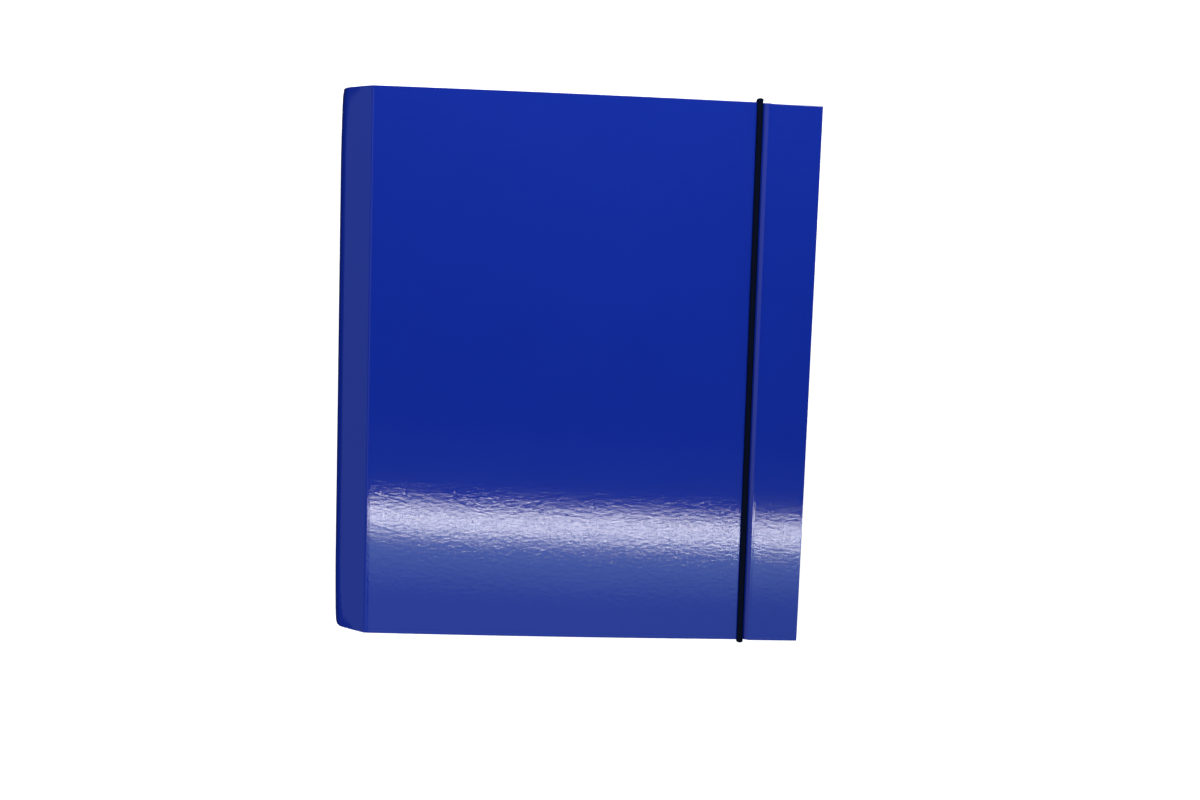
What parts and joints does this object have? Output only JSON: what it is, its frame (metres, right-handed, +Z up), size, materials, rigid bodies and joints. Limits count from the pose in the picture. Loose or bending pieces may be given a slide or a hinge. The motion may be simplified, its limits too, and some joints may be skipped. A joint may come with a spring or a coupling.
{
  "type": "ring binder",
  "caption": "Blue laminated card ring binder lying closed, with a ring mechanism inside the spine and a round black elastic closure near its fore-edge.",
  "frame": {"origin": "bottom centre of the bounding box, on the surface that the closed binder lies on", "axes": "+Z up through the closed binder, +X from the spine to the fore-edge, +Y from the tail edge to the head edge"},
  "size_m": [0.2812, 0.327, 0.0435],
  "materials": {
    "laminated_card": "gloss laminate, royal blue, with pale raw edges",
    "nickelled_steel": "bright nickel plate",
    "black_elastic": "matt braided elastic"
  },
  "bodies": {
    "back": {"back_cover": "laminated_card", "mechanism_housing": "nickelled_steel", "housing_rivet_top": "nickelled_steel", "housing_rivet_bottom": "nickelled_steel", "elastic_cord": "black_elastic", "cord_eyelet_top": "nickelled_steel", "cord_eyelet_bottom": "nickelled_steel", "cord_clip_top": "nickelled_steel", "cord_clip_bottom": "nickelled_steel"},
    "spine": {"spine_panel": "laminated_card"},
    "strip": {"front_hinge_strip": "laminated_card"},
    "front": {"front_cover": "laminated_card"},
    "left_carrier": {"carrier_left": "nickelled_steel", "ring_half_left_1": "nickelled_steel", "ring_half_left_2": "nickelled_steel", "ring_half_left_3": "nickelled_steel", "ring_half_left_4": "nickelled_steel"},
    "right_carrier": {"carrier_right": "nickelled_steel", "ring_half_right_1": "nickelled_steel", "ring_half_right_2": "nickelled_steel", "ring_half_right_3": "nickelled_steel", "ring_half_right_4": "nickelled_steel"}
  },
  "joints": [
    {"name": "spine_hinge", "type": "hinge", "parent": "back", "child": "spine", "pos_m": [-0.13948, 0, 0.00169], "axis": [0, -1, 0], "range_deg": [0, 89.2]},
    {"name": "strip_hinge", "type": "hinge", "parent": "spine", "child": "strip", "pos_m": [-0.13966, 0, 0.0307], "axis": [0, -1, 0], "range_deg": [0, 62.5]},
    {"name": "front_cover_hinge", "type": "hinge", "parent": "strip", "child": "front", "pos_m": [-0.11773, 0, 0.04341], "axis": [0, -1, 0], "range_deg": [0, 35.9], "deforming": ["elastic_cord"]},
    {"name": "left_ring_pivot", "type": "hinge", "parent": "back", "child": "left_carrier", "pos_m": [-0.11979, 0, 0.00503], "axis": [0, -1, 0], "range_deg": [0, 18]},
    {"name": "right_ring_pivot", "type": "hinge", "parent": "back", "child": "right_carrier", "pos_m": [-0.10299, 0, 0.00522], "axis": [0, -1, 0], "range_deg": [-18, 0]}
  ],
  "couplings": [
    {"joint": "right_ring_pivot", "follows": "left_ring_pivot", "ratio": -1}
  ]
}
